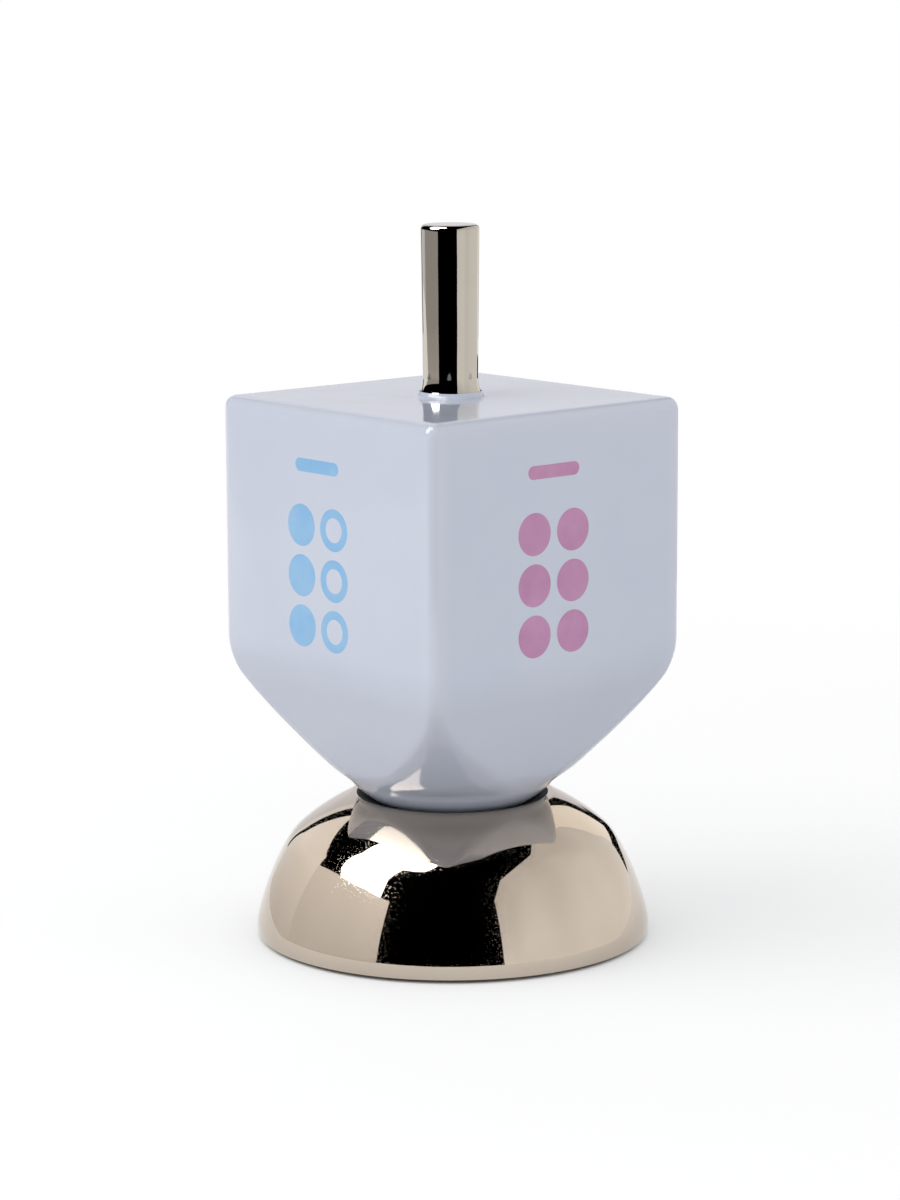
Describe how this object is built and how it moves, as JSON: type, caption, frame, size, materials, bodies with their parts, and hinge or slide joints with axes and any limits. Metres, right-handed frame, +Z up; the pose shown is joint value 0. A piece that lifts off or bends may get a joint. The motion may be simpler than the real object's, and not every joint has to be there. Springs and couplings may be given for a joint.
{
  "type": "dreidel on a stand",
  "caption": "Square glazed porcelain spinning top with a polished metal stem and a rounded lower end, seated in a low polished metal dome that it spins in and lifts out of.",
  "frame": {"origin": "on the table, under the middle of the stand, at the underside of the felt", "axes": "+Z up along the stem; the four faces of the top look along +X, -Y, -X and +Y"},
  "size_m": [0.078, 0.078, 0.1409],
  "materials": {
    "porcelain": "high gloss white glaze, faintly blue",
    "polished_nickel": "mirror polished, slightly warm",
    "gasket": "matte",
    "rod_steel": "plain machined",
    "mauve_glaze": "fired colour under gloss glaze",
    "blue_glaze": "fired colour under gloss glaze",
    "green_glaze": "fired colour under gloss glaze",
    "yellow_glaze": "fired colour under gloss glaze",
    "cushion": "soft matte",
    "weight_iron": "zinc plated disc, dull",
    "felt": "dense pressed felt"
  },
  "bodies": {
    "stand": {"stand_dome": "polished_nickel", "base_plate": "weight_iron", "base_screw": "rod_steel", "felt_pad": "felt"},
    "seat": {"seat_ring": "cushion"},
    "top": {"body": "porcelain", "stem": "polished_nickel", "stem_gasket": "gasket", "tie_rod": "rod_steel", "tip": "polished_nickel", "tip_gasket": "gasket", "mark_all": "mauve_glaze", "mark_half": "blue_glaze", "mark_none": "green_glaze", "mark_put_in": "yellow_glaze"}
  },
  "joints": [
    {"name": "spin", "type": "hinge", "parent": "stand", "child": "seat", "pos_m": [0, 0, 0.025], "axis": [0, 0, 1], "continuous": true},
    {"name": "lift", "type": "slide", "parent": "seat", "child": "top", "axis": [0, 0, 1], "range_m": [0, 0.06]}
  ]
}
